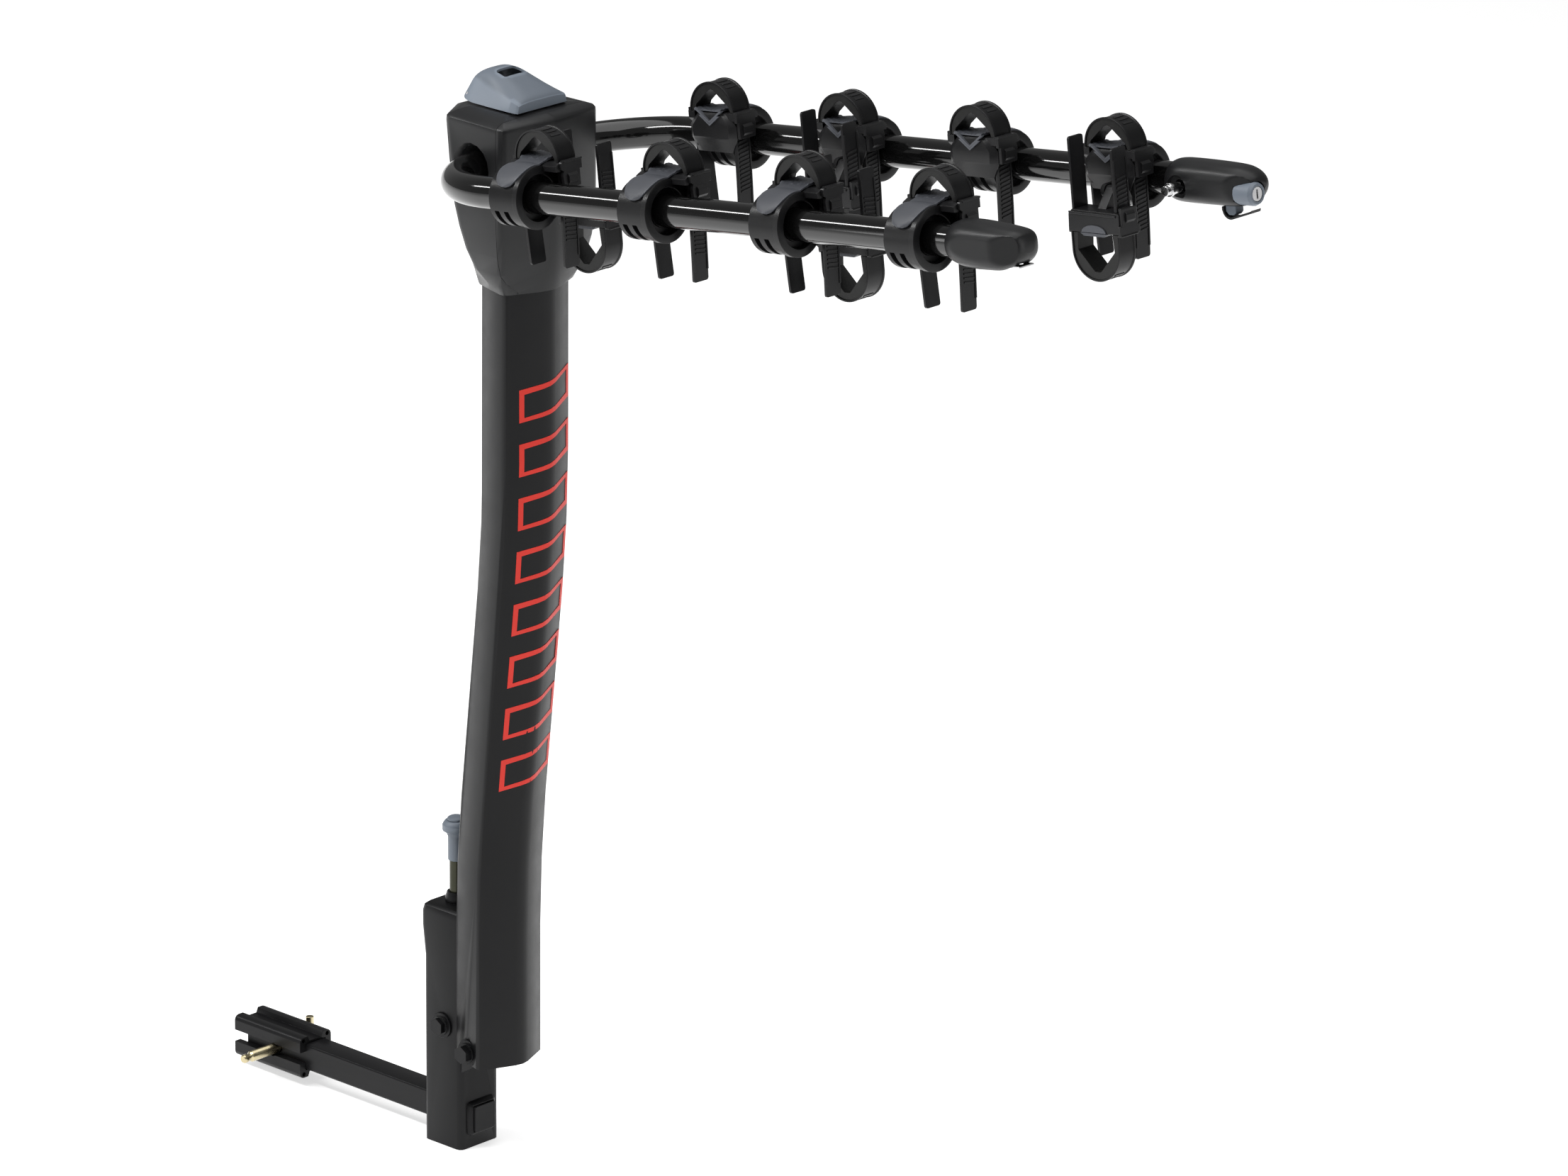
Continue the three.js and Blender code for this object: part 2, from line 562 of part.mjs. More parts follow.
function cradleBody(withHinge) {
  const inboard = STRAP.out - STRAP.wide / 2;
  const parts = [
    rod('x', -27.5, 12.5, 33, [0, 0], 16),
    rod('x', 12.5, 17.5, 34.5, [0, 0], 16),
    extrude('yz', [[-10, 24], [-10, 33], [-17, SEAT.high], [inboard, SEAT.high], [inboard, SEAT.low]],
      -SEAT.half, SEAT.half),
    extrude('xz', [[-34, -1], [34, -1], [41, 13], [41, 18], [21, SEAT.high], [-21, SEAT.high], [-41, 18],
      [-41, 13]], inboard - 4, inboard + 1),
    box(-14, 14, inboard, -26, -4, SEAT.low + 1),
    ...buckle(0, STRAP.out, 1),
  ];
  if (withHinge) {
    const eye = (u) => extrude('yz', [[-46, -12], [-60, -12], [-63, -5], [-60, 2], [-46, 4]], u, u + 5);
    parts.push(eye(3), eye(22), rod('x', 3, 27, 2.5, [HINGE.v, HINGE.w], 8));
  }
  return shape(parts, [rod('x', -40, 40, ARM.radius + 2 * GAP, [0, 0], 14), ...tailSlots(0, 0, 50)]);
}

function cradlePad() {
  const outer = arc(0, 0, 37.6, 32, 98, 6);
  const inner = arc(0, 0, 34.9, 103, 32, 6);
  const section = [...outer, [-18, 39.6], [-47, 40.4], [-47, SEAT.high + 0.4], [-17.2, SEAT.high + 0.4], ...inner];
  const valley = extrude('xz', [[-9, 41], [0, 37.6], [9, 41]], -60, -17);
  return shape([extrude('yz', section, -17, 11)], [valley]);
}

// Hoop with a pointed mouth and two tails; `up` is 1 for a cradle and -1 for an anti-sway one.
function strap(centre, out, base, crown, tailEnds, up) {
  const leg = STRAP.hoop - 6;
  const top = base + crown - STRAP.hoop;
  const ring = [[STRAP.hoop, base], ...arc(0, top, STRAP.hoop, 0, 180, 10), [-STRAP.hoop, base], [-leg, base]];
  const mouth = up > 0 ? [[-20, base + 6], [0, base + 20], [20, base + 6], [leg, base]]
    : [[-leg + 2, top], [0, top + 23], [leg - 2, top], [leg, base]];
  const outline = [...ring, ...mouth].map(([u, w]) => [centre + u, up * w]);
  const parts = [extrude('xz', outline, out - STRAP.wide / 2, out + STRAP.wide / 2)];
  tailEnds.forEach((tailEnd, i) => {
    const u = centre + (i === 0 ? -STRAP.leg : STRAP.leg);
    const half = STRAP.thick / 2;
    const [low, high] = [Math.min(up * (base + 4), tailEnd), Math.max(up * (base + 4), tailEnd)];
    parts.push(box(u - half, u + half, out - STRAP.tail / 2, out + STRAP.tail / 2, low, high));
  });
  return shape(parts);
}

const SWAY = { out: -77, low: 20, high: 44, crown: 52, tails: [57, 48] };

function antiswayBody() {
  const [inboard, outboard] = [SWAY.out - 13.5, SWAY.out + 13.5];
  const c = ANTISWAY_SHIFT;
  const parts = [
    box(c - 36, c + 36, inboard, outboard, -SWAY.high, -SWAY.low),
    ...buckle(c, SWAY.out, -1).map((part) => part.translate(0, 0, SEAT.high - SWAY.high)),
    extrude('yz', [[-52, -10], [-51, -4], [-57, 1.2], [-63, -2], [-80, -28], [-66, -32]], 9, 21),
  ];
  const slots = tailSlots(c, -60, 0).map((slot) => slot.translate(0, SWAY.out - STRAP.out, 0));
  return shape(parts, [...slots, rod('x', 0, 30, 3, [HINGE.v, HINGE.w], 8)]);
}

// ---- Assembly ------------------------------------------------------------------------------
place('shank_bar', shankBar(), SATIN_BLACK);
place('hitch_adapter_upper', adapter(1), SATIN_BLACK);
place('hitch_adapter_lower', adapter(-1), SATIN_BLACK);
place('hitch_pin', hitchPin(), ZINC);
place('base_post', basePost(), SATIN_BLACK);
place('pivot_bracket', pivotBracket(), SATIN_BLACK);
place('latch_bolt', bolt(LATCH_BOLT.x, LATCH_BOLT.z, POST.half + GAP, 8.6), SATIN_BLACK);
const bushes = [[-37, -30.3], [30.3, 37]].map(([a, b]) => rod('y', a, b, 10, [PIVOT.x, PIVOT.z], 12));
place('pivot_bolt', bolt(PIVOT.x, PIVOT.z, PIVOT.boss + GAP, 11, bushes), SATIN_BLACK);
place('release_rod', releaseRod(), OLIVE);
place('release_knob', releaseKnob(), BLUE_GREY);
place('knob_cap', knobCap(), BLUE_GREY);
place('release_spring', releaseSpring(), STEEL);
place('mast_tube', mastTube(), SATIN_BLACK);
place('head_cover_front', headHalf(true), CASE_BLACK);
place('head_cover_rear', headHalf(false), CASE_BLACK);
place('head_frame', headFrame(), STEEL);
place('fold_lever', foldLever(), BLUE_GREY);
place('fold_lever_pin', rod('y', -32, 32, 2, [LEVER.pinX, LEVER.pinZ], 12), STEEL);
place('fold_pawl', foldPawl(), STEEL);
place('fold_ratchet', foldRatchet(), STEEL);
place('arm_tube', armTube(), GLOSS_BLACK);

// A group on the arm on one side: `side` is -1 for the near arm and 1 for the far one.
function onArm(x, side) {
  const group = new THREE.Group();
  group.position.set(x, side * ARM.y, armHeight(x));
  group.rotation.y = -ARM.slope;
  rack.add(group);
  return group;
}

const nearTip = onArm(ARM.endX, -1);
place('near_end_cap', mirrored(nearEndCap()), CASE_BLACK, nearTip);
place('bottle_opener', mirrored(bottleOpener()), STEEL, nearTip);
const farTip = onArm(ARM.endX, 1);
place('far_end_cap', farEndCap(), CASE_BLACK, farTip);
place('lock_housing', lockHousing(), BLUE_GREY, farTip);
place('lock_core', lockCore(), STEEL, farTip);
place('cable_plug', cablePlug(), STEEL, farTip);
place('cap_hook', capHook(), CASE_BLACK, farTip);

const cradleStrap = strap(0, STRAP.out, SEAT.high + 0.4, 33.6, [STRAP.low, STRAP.low], 1);
const swayStrap = strap(ANTISWAY_SHIFT, SWAY.out, SWAY.high + 0.4, SWAY.crown, SWAY.tails, -1);
const pad = cradlePad();
const swayBody = antiswayBody();
for (const [side, label, swayAt] of [[-1, 'near', [1, 3]], [1, 'far', [2, 4]]]) {
  const facing = (geometry) => (side < 0 ? mirrored(geometry) : geometry);
  for (let k = 1; k <= CRADLE.count; k += 1) {
    const group = onArm(CRADLE.firstX + CRADLE.pitch * (k - 1), side);
    const hasSway = swayAt.includes(k);
    place(`cradle_${label}_${k}_body`, facing(cradleBody(hasSway)), SOFT_BLACK, group);
    place(`cradle_${label}_${k}_pad`, facing(pad), PAD_GREY, group);
    place(`cradle_${label}_${k}_strap`, facing(cradleStrap), SOFT_BLACK, group);
    if (hasSway) {
      place(`antisway_${label}_${k}_body`, facing(swayBody), SOFT_BLACK, group);
      place(`antisway_${label}_${k}_strap`, facing(swayStrap), SOFT_BLACK, group);
    }
  }
}

export default rack;
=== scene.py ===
import json
import math

import bmesh
import bpy
from mathutils import Matrix, Vector
from mathutils.bvhtree import BVHTree


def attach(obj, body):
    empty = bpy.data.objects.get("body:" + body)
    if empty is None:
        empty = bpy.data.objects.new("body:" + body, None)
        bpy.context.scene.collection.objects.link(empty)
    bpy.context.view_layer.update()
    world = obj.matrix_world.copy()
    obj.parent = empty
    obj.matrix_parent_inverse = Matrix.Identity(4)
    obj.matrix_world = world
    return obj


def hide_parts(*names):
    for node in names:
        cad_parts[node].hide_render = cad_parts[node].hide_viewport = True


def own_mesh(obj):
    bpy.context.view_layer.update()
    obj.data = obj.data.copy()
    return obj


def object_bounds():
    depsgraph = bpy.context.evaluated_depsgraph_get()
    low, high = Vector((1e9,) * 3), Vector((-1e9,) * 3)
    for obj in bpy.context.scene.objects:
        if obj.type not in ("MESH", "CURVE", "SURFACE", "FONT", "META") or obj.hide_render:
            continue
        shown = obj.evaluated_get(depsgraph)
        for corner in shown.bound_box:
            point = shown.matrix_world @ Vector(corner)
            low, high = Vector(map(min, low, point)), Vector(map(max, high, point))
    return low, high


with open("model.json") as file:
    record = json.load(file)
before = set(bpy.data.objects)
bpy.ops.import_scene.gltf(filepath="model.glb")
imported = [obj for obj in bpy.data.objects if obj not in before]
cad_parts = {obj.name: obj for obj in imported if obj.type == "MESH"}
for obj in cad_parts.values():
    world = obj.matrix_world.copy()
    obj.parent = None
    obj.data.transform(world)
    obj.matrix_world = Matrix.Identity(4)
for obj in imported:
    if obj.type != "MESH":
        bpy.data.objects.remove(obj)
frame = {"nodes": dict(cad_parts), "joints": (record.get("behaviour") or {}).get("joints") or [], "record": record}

CAD_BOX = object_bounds()
MM = 0.001

# ---- Places taken from the frame ---------------------------------------------------------------
JOINTS = {joint["name"]: joint for joint in frame["joints"]}
CROSS = Vector(JOINTS["arm_fold"]["pos_m"])           # centre of the cross tube that the arms fold about
RISE = Vector(JOINTS["lock_core_turn"]["axis"])       # direction of both arms, away from the mast
SIDES = {"near": -1, "far": 1}
CRADLE_COUNT = 4
ANTISWAY = {"near": (1, 3), "far": (2, 4)}

# ---- Sizes, in millimetres ---------------------------------------------------------------------
ARM_Y = 167
ARM_RADIUS = 17.5
ARM_BEND = 125
ARM_LENGTH = 825                                      # from the cross tube to the end inside a cap
ARM_END = 870                                         # where the arms end along X, from the post's rear
CROSS_PLACE = (63, 0, 1189.7)                         # the cross tube, from the post's rear bottom edge
COLLAR = {"from": -27.5, "to": 17.5, "radius": 33, "mouth": 25, "deep": 9, "flange_from": 10, "flange": 1.5,
          "slots": ((-21, -14), (-7, 0)), "slot_depth": 5}
STRAP = {"out": -31, "wide": 27, "tail": 22, "leg": 29.5, "thick": 3, "hoop": 33, "low": -81.5}
SEAT = {"low": 24, "high": 36, "half": 36}
HINGE = {"v": -57, "w": -5}
PAD = {"bed_from": -17, "bed_half": 20, "tip_half": 3, "tongue_half": 18.5, "middle": -4, "thick": 1.6,
       "crown": 1.5, "rise": 0.6, "ridge": 0.9, "ridge_pitch": 6.5, "ridge_slant": 9, "valley": 1.6}
SWAY = {"shift": 14, "out": -77, "low": 20, "high": 44, "crown": 52, "tails": (56.5, 47.5)}
POST_FOOT = CROSS - Vector(CROSS_PLACE) * MM          # rear bottom edge of the post
STRIPES = {"from": 455, "count": 8, "pitch": 63, "tall": 38, "slant": 14, "left": -36, "right": 44,
           "stroke": 5.5, "proud": 0.35, "sunk": -0.5}
LEVER = {"wall": 2.4, "window": (44, 60, -16, 16, 4), "window_from": 1262, "window_to": 1300}
SOCKET = {"radius": 18.1, "deep": 12.6}               # hole in an end cap for the end of the arm tube
STUD = {"u": 26, "w": -4, "hole": 8, "scallop": 13}   # cable stud in the side of the far end cap
LOCK = {"v": -9, "w": -6.5, "bore": 13.5, "from": 100}

# ---- Camera ------------------------------------------------------------------------------------
VIEW = {"azimuth": 43.221, "elevation": 18.613, "roll": 0.489, "distance": 10.001,
        "target": (0.83927, 0.0, 0.74738), "lens": 211.6}


def add_camera():
    data = bpy.data.cameras.new("camera")
    data.lens = VIEW["lens"]
    data.sensor_width = 36
    data.clip_end = 100
    camera = bpy.data.objects.new("camera", data)
    azimuth = math.radians(VIEW["azimuth"])
    elevation = math.radians(VIEW["elevation"])
    back = Vector((math.sin(azimuth) * math.cos(elevation), -math.cos(azimuth) * math.cos(elevation),
                   math.sin(elevation)))
    turn = (-back).to_track_quat("-Z", "Y").to_matrix().to_4x4()
    roll = Matrix.Rotation(math.radians(VIEW["roll"]), 4, "Z")
    place = Matrix.Translation(Vector(VIEW["target"]) + back * VIEW["distance"])
    camera.matrix_world = place @ turn @ roll
    bpy.context.scene.collection.objects.link(camera)
    bpy.context.scene.camera = camera


# ---- Materials ---------------------------------------------------------------------------------
def surface(name, dark, light, roughness, metallic=0.0, grain=900, bump=0.15, patch=14, coat=0.0,
            spread=0.08, wear=0.0, specular=0.5, glow=0.0):
    """A material whose colour, roughness and fine relief vary over the surface."""
    material = bpy.data.materials.new(name)
    material.use_nodes = True
    nodes = material.node_tree.nodes
    links = material.node_tree.links
    shader = nodes["Principled BSDF"]
    shader.inputs["Metallic"].default_value = metallic
    shader.inputs["Coat Weight"].default_value = coat
    shader.inputs["Coat Roughness"].default_value = 0.05
    shader.inputs["Specular IOR Level"].default_value = specular
    shader.inputs["Emission Color"].default_value = (1, 1, 1, 1)
    shader.inputs["Emission Strength"].default_value = glow
    place = nodes.new("ShaderNodeTexCoord").outputs["Object"]

    def noise(scale, detail):
        node = nodes.new("ShaderNodeTexNoise")
        node.inputs["Scale"].default_value = scale
        node.inputs["Detail"].default_value = detail
        links.new(place, node.inputs["Vector"])
        return node.outputs["Fac"]

    tint = nodes.new("ShaderNodeMix")
    tint.data_type = "RGBA"
    tint.inputs["A"].default_value = (*dark, 1)
    tint.inputs["B"].default_value = (*light, 1)
    links.new(noise(patch, 4), tint.inputs["Factor"])
    colour = tint.outputs["Result"]
    if wear:
        edge = nodes.new("ShaderNodeMapRange")
        edge.inputs["From Min"].default_value = 0.51
        edge.inputs["From Max"].default_value = 0.60
        edge.inputs["To Max"].default_value = wear
        links.new(nodes.new("ShaderNodeNewGeometry").outputs["Pointiness"], edge.inputs["Value"])
        worn = nodes.new("ShaderNodeMix")
        worn.data_type = "RGBA"
        worn.inputs["B"].default_value = (*[min(1, 3 * value + 0.02) for value in light], 1)
        links.new(edge.outputs["Result"], worn.inputs["Factor"])
        links.new(colour, worn.inputs["A"])
        colour = worn.outputs["Result"]
    links.new(colour, shader.inputs["Base Color"])

    sheen = nodes.new("ShaderNodeMapRange")
    sheen.inputs["To Min"].default_value = max(0.02, roughness - spread)
    sheen.inputs["To Max"].default_value = roughness + spread
    links.new(noise(patch * 3, 6), sheen.inputs["Value"])
    links.new(sheen.outputs["Result"], shader.inputs["Roughness"])

    relief = nodes.new("ShaderNodeBump")
    relief.inputs["Strength"].default_value = bump
    relief.inputs["Distance"].default_value = 0.0003
    links.new(noise(grain, 3), relief.inputs["Height"])
    links.new(relief.outputs["Normal"], shader.inputs["Normal"])
    return material


MATERIALS = {
    "satin_black_steel": surface("satin powder coat", (0.003, 0.003, 0.0034), (0.006, 0.006, 0.0066), 0.34,
                                 grain=700, bump=0.10, wear=0.25, specular=0.17),
    "gloss_black_steel": surface("gloss powder coat", (0.002, 0.002, 0.002), (0.004, 0.004, 0.004), 0.10,
                                 grain=260, bump=0.015, coat=0.3, spread=0.03),
    "case_plastic": surface("moulded case plastic", (0.007, 0.0072, 0.0077), (0.012, 0.0123, 0.013), 0.35,
                            grain=1600, bump=0.15, wear=0.25, specular=0.28),
    "cradle_plastic": surface("moulded cradle plastic", (0.0035, 0.0035, 0.0038), (0.007, 0.007, 0.0076),
                              0.32, grain=1500, bump=0.15, wear=0.3, specular=0.25),
    "pad_rubber": surface("soft pad rubber", (0.044, 0.047, 0.055), (0.064, 0.068, 0.078), 0.5,
                          grain=1800, bump=0.25, wear=0.2, specular=0.4),
    "strap_liner": surface("strap liner rubber", (0.007, 0.007, 0.0068), (0.012, 0.012, 0.0116), 0.42,
                           grain=1800, bump=0.25, wear=0.2, specular=0.25),
    "blue_grey_plastic": surface("blue grey plastic", (0.105, 0.125, 0.152), (0.130, 0.152, 0.182), 0.45,
                                 grain=1500, bump=0.2, wear=0.15, specular=0.4),
    "zinc_steel": surface("yellow zinc plate", (0.46, 0.38, 0.20), (0.66, 0.60, 0.42), 0.28, metallic=1,
                          grain=500, bump=0.1, patch=60),
    "bright_steel": surface("bright plated steel", (0.58, 0.58, 0.58), (0.72, 0.72, 0.73), 0.16, metallic=1,
                            grain=900, bump=0.05, patch=50),
    "plain_steel": surface("plain zinc plated steel", (0.32, 0.32, 0.33), (0.46, 0.46, 0.47), 0.35,
                           metallic=1, grain=900, bump=0.12, patch=50),
    "olive_steel": surface("olive plated rod", (0.022, 0.023, 0.012), (0.042, 0.043, 0.024), 0.3,
                           metallic=0.6, grain=900, bump=0.08, patch=40),
    "red_print": surface("red printed film", (0.62, 0.022, 0.012), (0.74, 0.034, 0.020), 0.4,
                         grain=900, bump=0.05, specular=0.3),
}


# ---- Mesh helpers: every form is (points, faces) in millimetres ----------------------------------
def merge(*forms):
    points, faces = [], []
    for form_points, form_faces in forms:
        base = len(points)
        points += [tuple(point) for point in form_points]
        faces += [tuple(index + base for index in face) for face in form_faces]
    return points, faces


def loft(rings, ends=True):
    """A skin through rings of equal count, with a flat face at each end."""
    count = len(rings[0])
    points = [point for ring in rings for point in ring]
    faces = []
    for r in range(len(rings) - 1):
        for k in range(count):
            a, b = r * count + k, r * count + (k + 1) % count
            faces.append((a, b, b + count, a + count))
    if ends:
        faces.append(tuple(range(count))[::-1])
        faces.append(tuple(range(len(points) - count, len(points))))
    return points, faces


PLANES = {"uv": lambda a, b, c: (a, b, c), "uw": lambda a, b, c: (a, c, b), "vw": lambda a, b, c: (c, a, b)}


def prism(plane, outline, low, high):
    """An outline drawn in a plane of the local axes u, v, w, carried along the third axis."""
    put = PLANES[plane]
    return loft([[put(a, b, c) for a, b in outline] for c in (low, high)])


def block(u0, u1, v0, v1, w0, w1):
    return prism("uv", [(u0, v0), (u1, v0), (u1, v1), (u0, v1)], w0, w1)


def arc(centre, radius, start, end, steps):
    """Points on a circle, angles in degrees."""
    turns = [math.radians(start + (end - start) * k / steps) for k in range(steps + 1)]
    return [(centre[0] + radius * math.cos(t), centre[1] + radius * math.sin(t)) for t in turns]


def rounded_box(a0, a1, b0, b1, radius, steps=5):
    """Outline of a rectangle with round corners."""
    corners = [((a1 - radius, b1 - radius), 0), ((a0 + radius, b1 - radius), 90),
               ((a0 + radius, b0 + radius), 180), ((a1 - radius, b0 + radius), 270)]
    return [point for centre, turn in corners for point in arc(centre, radius, turn, turn + 90, steps)]


def tube_along(path, radius, sides=48):
    """A round bar along a path of points; the path lies in one plane."""
    path = [Vector(point) for point in path]
    normal = (path[1] - path[0]).cross(path[len(path) // 2] - path[0]).normalized()
    rings = []
    for k, point in enumerate(path):
        tangent = (path[min(k + 1, len(path) - 1)] - path[max(k - 1, 0)]).normalized()
        side = tangent.cross(normal).normalized()
        rings.append([tuple(point + side * radius * math.cos(2 * math.pi * s / sides)
                            + normal * radius * math.sin(2 * math.pi * s / sides)) for s in range(sides)])
    return loft(rings)


def turned(profile, centre=(0, 0), sides=40):
    """A solid of revolution about the u axis through v, w; the profile is (u, radius) and closes."""
    rings = [[(u, centre[0] + r * math.cos(2 * math.pi * s / sides),
               centre[1] + r * math.sin(2 * math.pi * s / sides)) for s in range(sides)] for u, r in profile]
    return loft(rings + [rings[0]], ends=False)


def disc(axis, low, high, radius, centre, sides=48):
    """A short cylinder along the local axis u or v."""
    ring = arc(centre, radius, 0, 360 * (1 - 1 / sides), sides - 1)
    return prism("vw" if axis == "u" else "uw", ring, low, high)


def smooth(rows, steps):
    """Rows of numbers with more rows between them, on a curve through all of them."""
    finer = []
    for k in range(len(rows) - 1):
        four = [rows[max(k - 1, 0)], rows[k], rows[k + 1], rows[min(k + 2, len(rows) - 1)]]
        for step in range(steps):
            t = step / steps
            finer.append(tuple(
                b + 0.5 * t * (c - a + t * (2 * a - 5 * b + 4 * c - d + t * (3 * (b - c) + d - a)))
                for a, b, c, d in zip(*four)))
    return finer + [tuple(rows[-1])]


def carve(form, cutters):
    """The form with every cutter taken out of it."""
    solids = []
    for points, faces in [form] + cutters:
        mesh = bpy.data.meshes.new("solid")
        mesh.from_pydata([Vector(point) * MM for point in points], [], faces)
        shape = bmesh.new()
        shape.from_mesh(mesh)
        bmesh.ops.remove_doubles(shape, verts=shape.verts, dist=0.000001)
        bmesh.ops.recalc_face_normals(shape, faces=shape.faces)
        shape.to_mesh(mesh)
        shape.free()
        solids.append(bpy.data.objects.new("solid", mesh))
        bpy.context.scene.collection.objects.link(solids[-1])
    for cutter in solids[1:]:
        cut = solids[0].modifiers.new("cut", "BOOLEAN")
        cut.operation = "DIFFERENCE"
        cut.object = cutter
    result = solids[0].evaluated_get(bpy.context.evaluated_depsgraph_get()).to_mesh()
    points = [tuple(vertex.co / MM) for vertex in result.vertices]
    faces = [tuple(face.vertices) for face in result.polygons]
    for solid in solids:
        bpy.data.objects.remove(solid)
    return points, faces


def add(name, form, slot, body, nodes, place=Matrix.Identity(4), bevel=0.6):
    """Makes a piece from a form, puts it in place, and lets it stand for CAD nodes."""
    points, faces = form
    flip = place.determinant() < 0
    mesh = bpy.data.meshes.new(name)
    mesh.from_pydata([place @ (Vector(point) * MM) for point in points], [],
                     [face[::-1] if flip else face for face in faces])
    tidy = bmesh.new()
    tidy.from_mesh(mesh)
    bmesh.ops.recalc_face_normals(tidy, faces=tidy.faces)
    tidy.to_mesh(mesh)
    tidy.free()
    return dress(name, mesh, slot, body, nodes, bevel)


def dress(name, mesh, slot, body, nodes, bevel):
    """Gives a mesh its material, soft edges, body and CAD nodes."""
    mesh.materials.clear()
    mesh.materials.append(MATERIALS[slot])
    mesh.shade_smooth()
    mesh.set_sharp_from_angle(angle=math.radians(40))
    piece = bpy.data.objects.new(name, mesh)
    bpy.context.scene.collection.objects.link(piece)
    if bevel:
        edges = piece.modifiers.new("soft edges", "BEVEL")
        edges.width = bevel * MM
        edges.segments = 2
        edges.limit_method = "ANGLE"
        edges.angle_limit = math.radians(32)
        edges.harden_normals = True
    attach(piece, body)
    if nodes:
        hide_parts(*nodes)
    return piece


SLOT_OF = {part["node"]: part["material_slot"] for part in frame["record"]["subparts"]}
BODY_OF = {node: body for body, nodes in frame["record"]["behaviour"]["bodies"].items() for node in nodes}


def refine(node, bevel=0.6):
    """A copy of a CAD node with flat faces cleaned up, soft edges and its finished material."""
    mesh = frame["nodes"][node].data.copy()
    tidy = bmesh.new()
    tidy.from_mesh(mesh)
    bmesh.ops.remove_doubles(tidy, verts=tidy.verts, dist=0.00002)
    bmesh.ops.dissolve_limit(tidy, angle_limit=math.radians(1), verts=tidy.verts, edges=tidy.edges)
    tidy.to_mesh(mesh)
    tidy.free()
    return dress(node + "_shape", mesh, SLOT_OF[node], BODY_OF[node], [node], bevel)


# ---- Arms ----------------------------------------------------------------------------------------
def on_arm(side, along):
    """Local axes on an arm: u along it, v outboard, w up; `along` is metres from the cross tube."""
    u = RISE
    v = Vector((0, side, 0))
    w = Vector((-RISE.z, 0, RISE.x))
    origin = CROSS + RISE * along + v * ARM_Y * MM
    place = Matrix((u, v, w)).transposed().to_4x4()
    place.translation = origin
    return place


def along_arm(node):
    """How far along the arm the middle of a CAD node is, in metres."""
    places = [(vertex.co - CROSS).dot(RISE) for vertex in frame["nodes"][node].data.vertices]
    return (min(places) + max(places)) / 2


def add_arms():
    """Both arms and the cross tube between them, bent from one tube."""
    inner = ARM_Y - ARM_BEND
    length = ARM_LENGTH
    half = arc((ARM_BEND, inner), ARM_BEND, 180, 90, 28) + [(length * f, ARM_Y) for f in (0.3, 0.6, 1)]
    path = [(u, -y, 0) for u, y in reversed(half)] + [(u, y, 0) for u, y in half]
    place = Matrix((RISE, Vector((0, 1, 0)), Vector((-RISE.z, 0, RISE.x)))).transposed().to_4x4()
    place.translation = CROSS
    add("arm_tube_shape", tube_along(path, ARM_RADIUS), "gloss_black_steel", "arms", ["arm_tube"], place,
        bevel=0)


# ---- Release -------------------------------------------------------------------------------------
def add_spring():
    """The return spring with its own mesh; the real one, held at its top, shortens as the rod's collar comes up.
    """
    spring = refine("release_spring", bevel=0)
    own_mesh(spring)


# ---- Head ----------------------------------------------------------------------------------------
# Across the lever: x, base z, half width, half width and z of the creases, z of the crown.
LEVER_ROWS = [(4, 1255, 20, 13, 1258, 1260), (10, 1253, 30, 18, 1267, 1271),
              (18, 1251.5, 36, 21.5, 1272, 1279), (32, 1250.8, 39.5, 25, 1270, 1285),
              (47, 1250.8, 40, 29, 1267.5, 1285),
              (60, 1250.8, 40.2, 31.5, 1265.5, 1281), (74, 1250.8, 40.3, 33.7, 1263.5, 1275.5),
              (88, 1250.8, 40.2, 36, 1261.7, 1269.5), (97, 1250.8, 39.5, 36.8, 1260.3, 1265),
              (101, 1250.8, 38, 36, 1258.5, 1261)]


def lever_skin(wall):
    """The lever's outside, or its inside when given a wall: flat sides under a domed top."""
    steps = 24
    rings = []
    for x, base, half, crease, edge, crown in smooth(LEVER_ROWS, 5):
        x = min(max(x, LEVER_ROWS[0][0] + wall), LEVER_ROWS[-1][0] - wall)
        shares = [2 * k / steps - 1 for k in range(steps + 1)]
        top = [(x, share * (crease - wall), edge - wall + (crown - edge) * (1 - share ** 4))
               for share in shares]
        low = base - (10 if wall else 0)
        rings.append([(x, wall - half, low)] + top + [(x, half - wall, low)])
    return loft(rings)


def add_lever():
    """The shell of the lever, hollow underneath, with a window over the pawl."""
    window = prism("uv", rounded_box(*LEVER["window"]), LEVER["window_from"], LEVER["window_to"])
    shell = carve(lever_skin(0), [lever_skin(LEVER["wall"]), window])
    add("fold_lever_shape", shell, "blue_grey_plastic", BODY_OF["fold_lever"], ["fold_lever"],
        Matrix.Translation(POST_FOOT), bevel=0.7)


def add_recesses():
    """The tapered recesses that the cross tube comes out of, one on each side of the head."""
    cup = turned([(38, 18.3), (66, 23.7), (66, 24.7), (38, 19.3)], sides=64)
    for label, side in SIDES.items():
        place = Matrix(((0, 1, 0), (side, 0, 0), (0, 0, 1))).to_4x4()
        place.translation = CROSS
        add(f"arm_recess_{label}", cup, "case_plastic", "mast", [], place, bevel=0)


